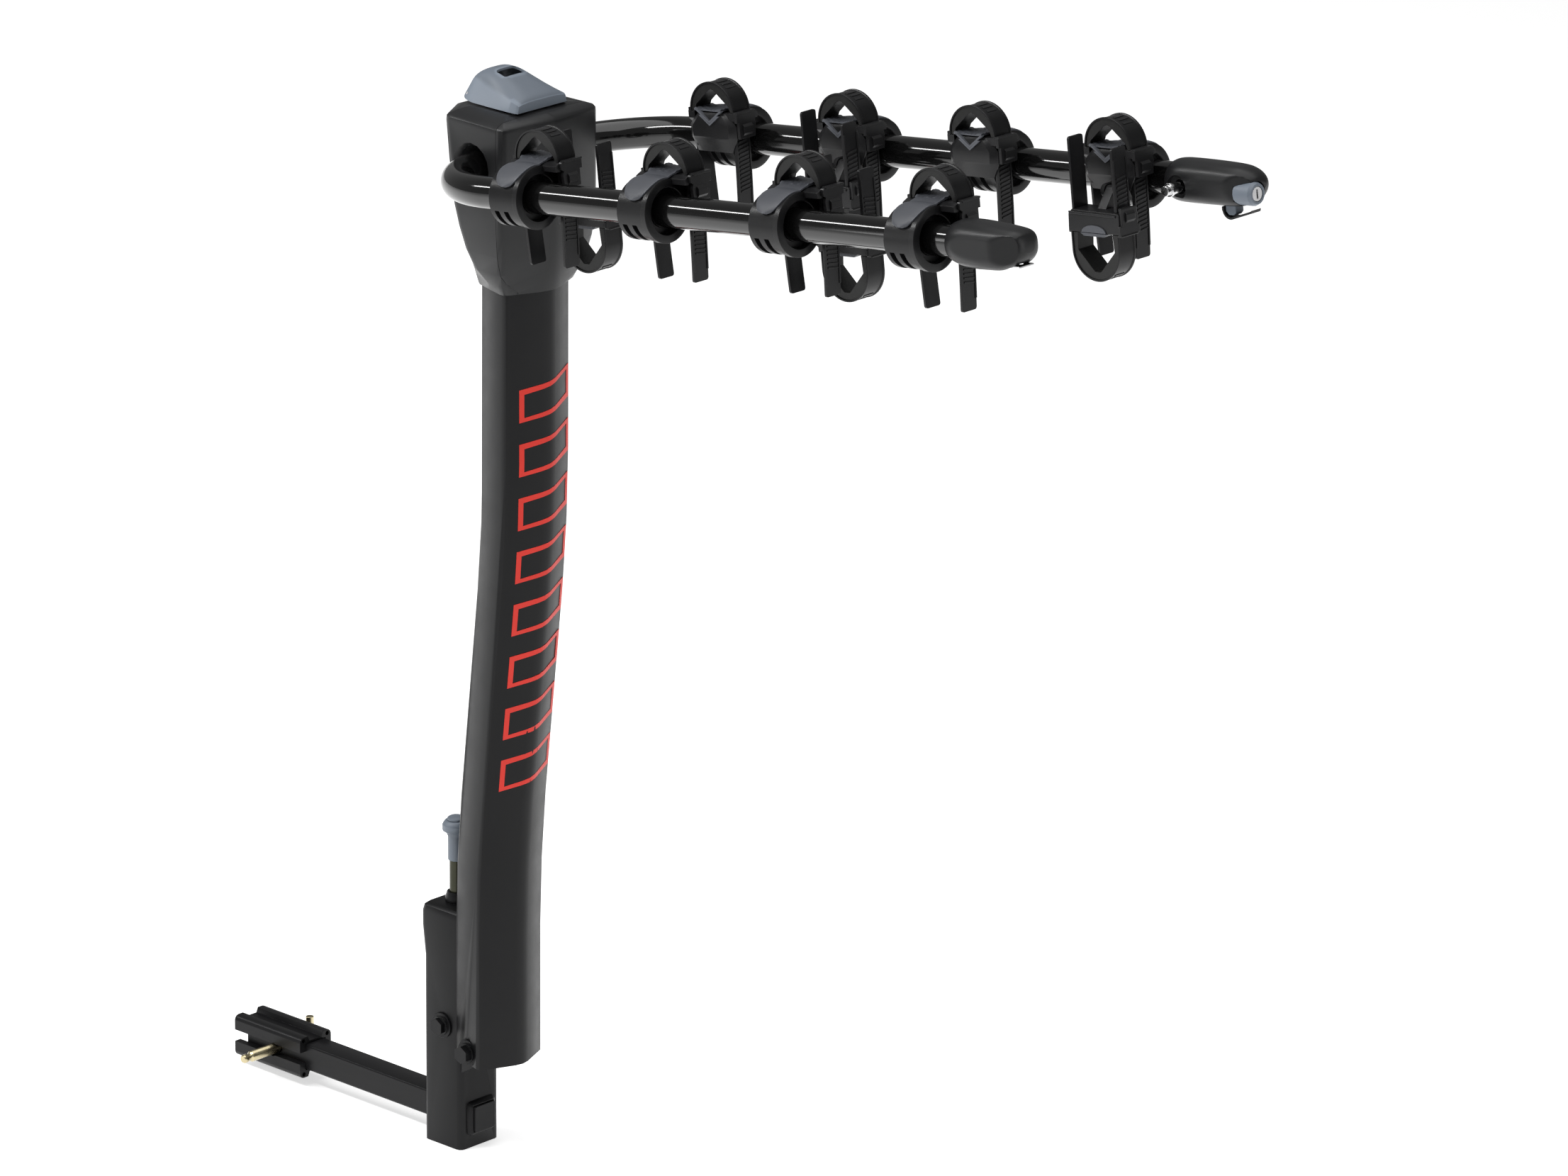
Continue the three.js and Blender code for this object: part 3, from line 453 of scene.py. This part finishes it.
# ---- Mast ----------------------------------------------------------------------------------------
def add_stripes():
    """A plain pattern of outlined slanting bars, printed on the rear faces of the mast."""
    mast = frame["nodes"]["mast_tube"].data
    tree = BVHTree.FromPolygons([vertex.co for vertex in mast.vertices],
                                [tuple(face.vertices) for face in mast.polygons])

    def on_mast(y, z, proud):
        behind = Vector((2, y * MM, z * MM + POST_FOOT.z))
        hit, normal, _, _ = tree.ray_cast(behind, Vector((-1, 0, 0)))
        return tuple((hit + normal * proud * MM) / MM)

    def outline(z, inset):
        left, right = STRIPES["left"] + inset, STRIPES["right"] - inset
        low, high = z + inset, z + STRIPES["tall"] - inset
        rise = STRIPES["slant"]
        corners = [(left, low), (right, low + rise), (right, high + rise), (left, high)]
        steps = 16
        return [(a[0] + (b[0] - a[0]) * k / steps, a[1] + (b[1] - a[1]) * k / steps)
                for a, b in zip(corners, corners[1:] + corners[:1]) for k in range(steps)]

    forms = []
    for bar in range(STRIPES["count"]):
        z = STRIPES["from"] + bar * STRIPES["pitch"]
        rings = []
        for outer, inner in zip(outline(z, 0), outline(z, STRIPES["stroke"])):
            rings.append([on_mast(*outer, STRIPES["proud"]), on_mast(*inner, STRIPES["proud"]),
                          on_mast(*inner, STRIPES["sunk"]), on_mast(*outer, STRIPES["sunk"])])
        forms.append(loft(rings + [rings[0]], ends=False))
    add("mast_stripes", merge(*forms), "red_print", "mast", [], bevel=0)


# ---- End caps ------------------------------------------------------------------------------------
# Along the arm from its end: u, half width, low w, high w and the power of the section's outline.
NEAR_CAP = [(-2, 20.3, -20.3, 20.3, 2), (0, 21.5, -21.5, 21.5, 2), (12, 24.3, -24.3, 25, 2.1),
            (28, 25.3, -25.4, 25.3, 2.3), (50, 25, -25, 23.5, 2.7), (70, 23.5, -23.5, 21.5, 3),
            (86, 21, -17.5, 19.3, 3.2), (93, 18, -12, 16.5, 3), (96, 13.5, -8, 12.5, 2.6),
            (97.6, 8, -4, 7.5, 2.2)]
FAR_CAP = [(6, 21, -21, 20, 2), (14, 23, -23, 22.5, 2.2), (30, 23.5, -23.5, 23, 2.5),
           (70, 23.5, -23, 22, 2.8), (96, 23, -22.5, 20.5, 2.8), (108, 21.5, -20, 18, 2.6),
           (116, 18, -15, 14.5, 2.4),
           (121, 13.5, -9, 10.5, 2.2), (123.5, 8, -3, 6, 2)]


def cap_skin(rows, trim):
    """The outside of an end cap; `trim` moves points that lie past a slanting side."""
    sides = 72
    rings = []
    for u, half, low, high, power in smooth(rows, 5):
        ring = []
        for k in range(sides):
            turn = 2 * math.pi * k / sides
            across, up = math.cos(turn), math.sin(turn)
            v = half * math.copysign(abs(across) ** (2 / power), across)
            w = (low + high) / 2 + (high - low) / 2 * math.copysign(abs(up) ** (2 / power), up)
            ring.append((u, *trim(u, v, w)))
        rings.append(ring)
    return loft(rings)


def near_trim(u, v, w):
    """Slopes the outboard side of the near cap in, towards its nose."""
    return min(v, 23.5 - 0.26 * max(0, u - 62)), w


def far_trim(u, v, w):
    """Slopes the inboard side of the far cap in, beside the lock."""
    return max(v, -23.5 + 0.35 * max(0, u - 90)), w


def arm_end(side):
    """Local axes with their origin at the end of an arm."""
    return on_arm(side, (ARM_END - CROSS_PLACE[0]) / RISE.x * MM)


def add_near_cap():
    """The near end cap, open underneath for the bottle opener."""
    mouth = block(66, 90, -10, 8, -32, -9)
    slot = block(36, 92, -13, 13, -32, -17.5)
    socket = disc("u", -10, SOCKET["deep"], SOCKET["radius"], (0, 0))
    cap = carve(cap_skin(NEAR_CAP, near_trim), [socket, mouth, slot])
    add("near_end_cap_shape", cap, "case_plastic", "arms", ["near_end_cap"], arm_end(-1), bevel=0.5)


def add_far_cap():
    """The far end cap, with its bore for the lock and its scallop for the cable stud."""
    socket = disc("u", 0, SOCKET["deep"], SOCKET["radius"], (0, 0))
    bore = disc("u", LOCK["from"], 130, LOCK["bore"], (LOCK["v"], LOCK["w"]))
    scallop = disc("v", -32, -19.2, STUD["scallop"], (STUD["u"] - 2, STUD["w"]))
    hole = disc("v", -32, -12, STUD["hole"], (STUD["u"], STUD["w"]))
    cap = carve(cap_skin(FAR_CAP, far_trim), [socket, bore, scallop, hole])
    add("far_end_cap_shape", cap, "case_plastic", "arms", ["far_end_cap"], arm_end(1), bevel=0.5)


def add_hook():
    """The curled strip under the far cap, and the block that it curls around."""
    bend = (83, -27)
    outer = [(72, -23.8), (72, -28)] + arc(bend, 10.5, 190, 280, 12) + [(112, -29), (113, -25.5)]
    inner = [(111, -26.8)] + arc(bend, 8, 280, 190, 12) + [(74.5, -23.8)]
    add("cap_hook_shape", prism("uw", outer + inner, -8, 8), "case_plastic", "arms", ["cap_hook"],
        arm_end(1), bevel=0.5)
    foot = prism("uw", [(76, -21), (90, -21), (90, -30), (87, -33), (80, -33), (76, -29)], -6.5, 6.5)
    add("cap_hook_block", foot, "blue_grey_plastic", "arms", [], arm_end(1), bevel=1)


# ---- Cradles -------------------------------------------------------------------------------------
def collar():
    """The ring around the tube: a mouth at each end, two slots round its lower half, a flange."""
    low, high, radius = COLLAR["from"], COLLAR["to"], COLLAR["radius"]
    edge = 0.4
    places = [low, low + 1]
    for start, end in COLLAR["slots"]:
        places += [start, start + edge, end - edge, end]
    places += [COLLAR["flange_from"], COLLAR["flange_from"] + edge, high - 0.8, high]
    sides = 96
    turns = [2 * math.pi * k / sides for k in range(sides)]
    rings = []
    for u in places:
        reach = radius
        if u in (low, high):
            reach -= 1
        elif u > COLLAR["flange_from"]:
            reach += COLLAR["flange"]
        slotted = any(start < u < end for start, end in COLLAR["slots"])
        ring = []
        for t in turns:
            out = reach - (COLLAR["slot_depth"] if slotted and math.sin(t) < -0.35 else 0)
            ring.append((u, out * math.cos(t), out * math.sin(t)))
        rings.append(ring)
    bore, mouth, deep = ARM_RADIUS + 0.3, COLLAR["mouth"], COLLAR["deep"]
    for u, reach in [(high, mouth + 0.8), (high - 1, mouth), (high - deep, mouth), (high - deep, bore),
                     (low + deep, bore), (low + deep, mouth), (low + 1, mouth), (low, mouth + 0.8)]:
        rings.append([(u, reach * math.cos(t), reach * math.sin(t)) for t in turns])
    return loft(rings + [rings[0]], ends=False)


def shield():
    """The faceted guard at the inboard end of a cradle: an upper face and a lower one sloping in."""
    front = STRAP["out"] - STRAP["wide"] / 2 - 4
    rows = [(SEAT["high"], 22, 2.4), (SEAT["high"] - 3, 25, 1.2), (21, 35, 0), (9, 34.5, 0), (6, 33.5, 0.8),
            (-8, 26, 4.2)]
    rings = []
    for w, half, back in rows:
        face, edge = front + back, front + 5.2
        rings.append([(-half, edge + 1, w), (-half, edge, w), (8 - half, face, w), (half - 8, face, w),
                      (half, edge, w), (half, edge + 1, w)])
    return loft(rings)


def buckle(centre, out, up, shift=0):
    """The upright plate beside the ladder tail, its block and catch, and the small tab opposite."""
    def at(plane, outline, low, high):
        turned_outline = [(a, up * b + shift) for a, b in outline]
        return prism(plane, turned_outline, low, high)
    half = 15.5
    face = at("vw", [(out - half, 26), (out - half, 36), (out - half + 1.5, 37), (out + half - 1, 37),
                     (out + half, 35.5), (out + half, 29), (out + half - 3.5, 27), (out + half - 2, 22),
                     (out + half - 3.5, 8), (out - half + 3.5, 8), (out - half + 3.5, 26)],
              centre + 35.5, centre + 39.5)
    lip = at("uw", [(centre + 34, 36), (centre + 40.6, 36), (centre + 40.6, 38), (centre + 34, 38)],
             out - half, out + half - 4)
    block_form = at("uw", [(centre + 31.9, 8), (centre + 36, 8), (centre + 36, 31), (centre + 31.9, 31)],
                    out - 9.5, out + 9.5)
    catch = at("uw", [(centre + 39.3, 24), (centre + 42, 21), (centre + 42, 14), (centre + 39.3, 11)],
               out - 7, out + 7)
    tab = at("uw", [(centre - 35, 28), (centre - 37.5, 28), (centre - 39.5, 31), (centre - 39.5, 38.5),
                    (centre - 37.3, 38.5), (centre - 36.4, 36), (centre - 35, 35)], out - 9.5, out + 9.5)
    return merge(face, lip, block_form, catch, tab)


def cradle_body(hinged):
    """Collar, seat, shield and buckle of a cradle; a hinged one has two eyes and their pin."""
    inboard = STRAP["out"] - STRAP["wide"] / 2
    seat = prism("vw", [(-10, 27), (-10, 33), (-17, SEAT["high"]), (inboard, SEAT["high"]),
                        (inboard, SEAT["low"] + 4), (inboard + 4, SEAT["low"])],
                 -SEAT["half"], SEAT["half"])
    web = prism("vw", [(inboard, -2)] + arc((0, 0), 28, 205, 62, 24)
                + [(14, 29.6), (4, 33), (-8, 34), (-17, 36), (inboard, 36)], -26.5, 12)
    forms = [collar(), seat, shield(), web, buckle(0, STRAP["out"], 1)]
    if hinged:
        for u in (3, 22):
            eye = arc((HINGE["v"], HINGE["w"]), 7, 90, 270, 10)
            forms.append(loft([[(at, v, w) for v, w in [(-46, 2)] + eye + [(-46, -12)]]
                               for at in (u, u + 5)]))
        forms.append(turned([(2.5, 0.01), (2.5, 4), (27.5, 4), (27.5, 0.01)],
                            (HINGE["v"], HINGE["w"]), 20))
    return merge(*forms)


def pad_path():
    """Outer line of the pad across the arm: (v, w) from the tip of its tongue to the inboard edge."""
    tongue = arc((0, 0), 35.8, 28, 100, 22)
    ramp = [(-6.2 - 2.2 * k, 35.4 + 0.55 * k) for k in range(1, 7)]
    top = [(-21 - 2.6 * k, 39.2) for k in range(1, 11)]
    return tongue + ramp + top


def pad_relief(v, share):
    """How far the pad's skin stands off its line; `share` runs from -1 to 1 across the pad."""
    if v >= PAD["bed_from"]:
        return PAD["crown"] * (1 - abs(share) ** 3)
    phase = (PAD["bed_from"] - v - PAD["ridge_slant"] * (1 - abs(share))) / PAD["ridge_pitch"]
    ridge = PAD["ridge"] if 0.12 < phase % 1 < 0.55 else 0.0
    return PAD["rise"] + ridge - PAD["valley"] * max(0.0, 1 - abs(share))


def pad_half(k, v):
    """Half the pad's width at point k of its line: a round tip, a tongue, then a wider bed."""
    if v < PAD["bed_from"]:
        return PAD["bed_half"]
    nose = min(1.0, k / 14)
    return PAD["tip_half"] + (PAD["tongue_half"] - PAD["tip_half"]) * math.sqrt(1 - (1 - nose) ** 2)


def pad_chevrons():
    """Two thin raised Vs on the shield, one inside the other."""
    front = STRAP["out"] - STRAP["wide"] / 2 - 4
    forms = []
    for reach, top, drop in ((19, 38.4, 14), (15.3, 33.2, 11.2)):
        outline = [(-reach, top), (0, top - drop), (reach, top), (reach - 3.4, top), (0, top - drop + 2.8),
                   (3.4 - reach, top)]
        forms.append(prism("uw", outline, front - 1.4, front + 3))
    return forms


def pad_form():
    """A rubber saddle: a rounded tongue over the collar, then a bed with slanting ridges."""
    path = pad_path()
    across = 30
    rings = []
    for k, (v, w) in enumerate(path):
        before, after = path[max(k - 1, 0)], path[min(k + 1, len(path) - 1)]
        tangent = Vector((after[0] - before[0], after[1] - before[1])).normalized()
        normal = Vector((tangent[1], -tangent[0]))
        half = pad_half(k, v)
        outer, inner = [], []
        for step in range(across + 1):
            share = 2 * step / across - 1
            u = PAD["middle"] + share * half
            lift = pad_relief(v, share)
            outer.append((u, v + normal.x * lift, w + normal.y * lift))
            inner.append((u, v - normal.x * PAD["thick"], w - normal.y * PAD["thick"]))
        rings.append(outer + inner[::-1])
    return merge(loft(rings), *pad_chevrons())


def tail(centre, out, top, end, bend):
    """A flat strap tail with rounded corners at its tip, bent a little sideways towards its end."""
    half, thick, corner = STRAP["tail"] / 2, STRAP["thick"] / 2, 3
    reach = abs(end - top)
    sign = 1 if end > top else -1
    shares = [k / 10 * (reach - corner) / reach for k in range(11)]
    shares += [1 - corner * (1 - math.sin(math.pi / 2 * k / 5)) / reach for k in range(1, 6)]
    rings = []
    for share in shares:
        past = max(0.0, 1 - reach * (1 - share) / corner)
        width = half - corner * (1 - math.sqrt(max(0.0, 1 - past ** 2)))
        u, w = centre + bend * share ** 2, top + sign * share * reach
        rings.append([(u - thick, out - width, w), (u + thick, out - width, w), (u + thick, out + width, w),
                      (u - thick, out + width, w)])
    return loft(rings)


def ladder(centre, out, top, end, bend):
    """Rungs and side rails on the outer face of the toothed tail."""
    reach = abs(end - top)
    sign = 1 if end > top else -1

    def face(share):
        return centre + bend * share ** 2 + STRAP["thick"] / 2, top + sign * share * reach
    forms = []
    for k in range(int((reach - 26) / 4.6)):
        u, w = face((k * 4.6 + 3) / reach)
        forms.append(loft([[(u - 0.4, v, w - 1.1 + tilt), (u + 1.2, v, w - 0.7 + tilt),
                            (u + 1.2, v, w + 0.7 + tilt), (u - 0.4, v, w + 1.1 + tilt)]
                           for v, tilt in ((out - 7.5, -1), (out + 7.5, 1))]))
    for edge in (-9.8, 9.8):
        rail = []
        for k in range(9):
            u, w = face(k / 8 * (reach - 12) / reach)
            rail.append([(u - 0.4, out + edge - 1, w), (u + 1, out + edge - 1, w),
                         (u + 1, out + edge + 1, w), (u - 0.4, out + edge + 1, w)])
        forms.append(loft(rail))
    return merge(*forms)


def arch_marks(centre, out, top, up):
    """Three plain ridges across the outside of an arch."""
    high, low, half = STRAP["hoop"] - 0.2, STRAP["hoop"] - 1.2, 7
    corners = ((low, -half), (high, -half), (high, half), (low, half))
    marks = []
    for start in (52, 64, 76):
        angles = [math.radians(start + step) for step in (0, 2.5, 5)]
        marks.append(loft([[(centre + reach * math.cos(a), out + v, up * (top + reach * math.sin(a)))
                            for reach, v in corners] for a in angles]))
    return marks


def hoop(centre, out, base, top, mouth, up):
    """The arch of a strap, a band with raised rims, and the core that fills it down to its mouth."""
    radius, half = STRAP["hoop"], STRAP["wide"] / 2

    def arch(reach, v, inner):
        outline = [(reach, base)] + arc((0, top), reach, 0, 180, 36) + [(-reach, base)] + inner
        return [(centre + u, out + v, up * w) for u, w in outline]

    inside = [(-radius + 2, base)] + arc((0, top), radius - 2, 180, 0, 36) + [(radius - 2, base)]
    band = [(-half, radius - 0.3), (-half + 0.4, radius), (-half + 2.4, radius), (-half + 3, radius - 0.9),
            (half - 3, radius - 0.9), (half - 2.4, radius), (half - 0.4, radius), (half, radius - 0.3)]
    shell = loft([arch(reach, v, inside) for v, reach in band])
    core = loft([arch(radius - 1.8, v, mouth) for v in (-half + 1.2, half - 1.2)])
    return merge(shell, *arch_marks(centre, out, top, up)), core


def strap_forms(kind):
    """The arch with its two tails, and the core of the arch."""
    radius = STRAP["hoop"]
    if kind == "cradle":
        base, centre, out, up, ends = SEAT["high"] + 0.4, 0, STRAP["out"], 1, (STRAP["low"],) * 2
        top = base + 0.6
        mouth = [(-27, base), (-24, base + 7), (-4, base + 23.5), (0, base + 25), (4, base + 23.5),
                 (24, base + 7), (27, base)]
        bend = 4
    else:
        base, centre, out, up, ends = SWAY["high"] + 0.4, SWAY["shift"], SWAY["out"], -1, SWAY["tails"]
        top = base + SWAY["crown"] - radius
        mouth = [(-24, base), (-25.5, top), (-4, top + 22.5), (4, top + 22.5), (25.5, top), (24, base)]
        bend = 0
    arch, core = hoop(centre, out, base, top, mouth, up)
    foot = up * (base + 3)
    forms = [arch]
    for side, end in zip((-1, 1), ends):
        forms.append(tail(centre + side * STRAP["leg"], out, foot, end, -side * bend))
    forms.append(ladder(centre + STRAP["leg"], out, foot, ends[1], -bend))
    return merge(*forms), core


def sway_body():
    """The bar of an anti-sway cradle, its rim and buckle, and the neck up to the hinge."""
    centre, out = SWAY["shift"], SWAY["out"]
    low, high = -SWAY["high"], -SWAY["low"]
    main = prism("uw", [(centre - 36, low), (centre + 36, low), (centre + 36, high - 3),
                        (centre + 33, high - 1), (centre - 30, high), (centre - 35, high - 5)],
                 out - 13.5, out + 13.5)
    rim = prism("uw", [(centre - 34, high - 2), (centre + 32, high - 3), (centre + 32, high - 5.5),
                       (centre - 33, high - 5)], out - 15, out - 13)
    neck = loft([[(u, v, w) for v, w in [(-52, -10), (-51, -4), (-53, 0), (-57, 1.2), (-61, 0), (-63, -3),
                                         (-80, -24), (-66, -28)]] for u in (9, 21)])
    return merge(main, rim, neck, buckle(centre, out, -1, SEAT["high"] - SWAY["high"]))


def sway_pad():
    """The half-moon pad that closes the top of an anti-sway cradle's opening."""
    centre, out = SWAY["shift"], SWAY["out"]
    low = -SWAY["high"]
    crown = [(centre + 17 * math.cos(math.pi * k / 16), low + 0.5 + 8 * math.sin(math.pi * k / 16))
             for k in range(17)]
    face = prism("uw", crown, out - 14.8, out - 13)
    bed = prism("uw", [(centre - 19, low - 0.1), (centre + 19, low - 0.1), (centre + 14, low - 3.4),
                       (centre - 14, low - 3.4)], out - 14.8, out + 12)
    return merge(face, bed)


def add_cradles():
    """Every cradle with its pad and strap, and the anti-sway cradles under some of them."""
    arch, core = strap_forms("cradle")
    sway_arch, sway_core = strap_forms("antisway")
    pad = pad_form()
    for label, side in SIDES.items():
        for k in range(1, CRADLE_COUNT + 1):
            tag = f"{label}_{k}"
            place = on_arm(side, along_arm(f"cradle_{tag}_strap"))
            hinged = k in ANTISWAY[label]
            add(f"cradle_{tag}_shape", cradle_body(hinged), "cradle_plastic", "arms",
                [f"cradle_{tag}_body"], place, bevel=0.8)
            add(f"pad_{tag}_shape", pad, "pad_rubber", "arms", [f"cradle_{tag}_pad"], place, bevel=0)
            add(f"strap_{tag}_shape", arch, "cradle_plastic", f"strap_{tag}", [f"cradle_{tag}_strap"],
                place, bevel=0.4)
            add(f"strap_core_{tag}_shape", core, "strap_liner", f"strap_{tag}", [], place, bevel=0.5)
            if hinged:
                add(f"antisway_{tag}_shape", sway_body(), "cradle_plastic", f"antisway_{tag}",
                    [f"antisway_{tag}_body"], place, bevel=0.8)
                add(f"antisway_pad_{tag}_shape", sway_pad(), "pad_rubber", f"antisway_{tag}", [], place,
                    bevel=0.4)
                add(f"antisway_strap_{tag}_shape", sway_arch, "cradle_plastic", f"antisway_strap_{tag}",
                    [f"antisway_{tag}_strap"], place, bevel=0.4)
                add(f"antisway_core_{tag}_shape", sway_core, "strap_liner", f"antisway_strap_{tag}", [],
                    place, bevel=0.5)


# ---- Floor and light -----------------------------------------------------------------------------
def add_stage():
    """The pale floor, just under the rack."""
    mesh = bpy.data.meshes.new("floor")
    reach = 14
    level = CAD_BOX[0].z - 0.0005
    mesh.from_pydata([(-reach, -reach, level), (reach, -reach, level), (reach, reach, level),
                      (-reach, reach, level)], [], [(0, 1, 2, 3)])
    floor = bpy.data.objects.new("floor", mesh)
    bpy.context.scene.collection.objects.link(floor)
    mesh.materials.append(surface("floor", (0.88, 0.88, 0.88), (0.92, 0.92, 0.92), 0.8, bump=0.02,
                                  specular=0.1, glow=0.6))


def add_light(name, place, target, size, radiance):
    """A rectangular lamp whose long side stays level; `radiance` is how bright its face looks."""
    data = bpy.data.lights.new(name, "AREA")
    data.shape = "RECTANGLE"
    data.size, data.size_y = size
    data.energy = radiance * math.pi * size[0] * size[1]
    light = bpy.data.objects.new(name, data)
    light.location = place
    light.rotation_mode = "QUATERNION"
    light.rotation_quaternion = (Vector(target) - Vector(place)).to_track_quat("-Z", "Y")
    bpy.context.scene.collection.objects.link(light)


LIGHTS = [("overhead", (0.8, 0, 4.8), (0.8, 0, 0), (5.0, 5.0), 1.8),
          ("long strip", (-2.3, -2.7, 4.1), (-2.3, 0, 1.3), (6.0, 0.4), 24),
          ("side panel", (-1.2, -3.2, 1.8), (0.8, 0, 0.8), (0.9, 1.6), 3),
          ("rear panel", (4.2, 1.0, 1.8), (0.8, 0, 0.8), (0.7, 2.6), 3)]


def add_lighting():
    """A dim white surround and four lamps."""
    world = bpy.data.worlds.new("studio")
    world.use_nodes = True
    backdrop = world.node_tree.nodes["Background"]
    backdrop.inputs["Color"].default_value = (1, 1, 1, 1)
    backdrop.inputs["Strength"].default_value = 0.2
    bpy.context.scene.world = world
    bpy.context.scene.view_settings.view_transform = "Standard"
    for lamp in LIGHTS:
        add_light(*lamp)


# ---- The rack ------------------------------------------------------------------------------------
REFINED = ["shank_bar", "base_post", "pivot_bracket", "hitch_adapter_upper", "hitch_adapter_lower",
           "hitch_pin", "latch_bolt", "pivot_bolt", "release_rod", "release_knob", "knob_cap", "mast_tube",
           "head_cover_front", "head_cover_rear", "head_frame", "fold_pawl", "fold_ratchet",
           "bottle_opener", "lock_housing", "lock_core", "cable_plug", "fold_lever_pin"]

add_camera()
for node_name in REFINED:
    refine(node_name)
add_spring()
add_recesses()
add_stripes()
add_lever()
add_arms()
add_near_cap()
add_far_cap()
add_hook()
add_cradles()
add_stage()
add_lighting()
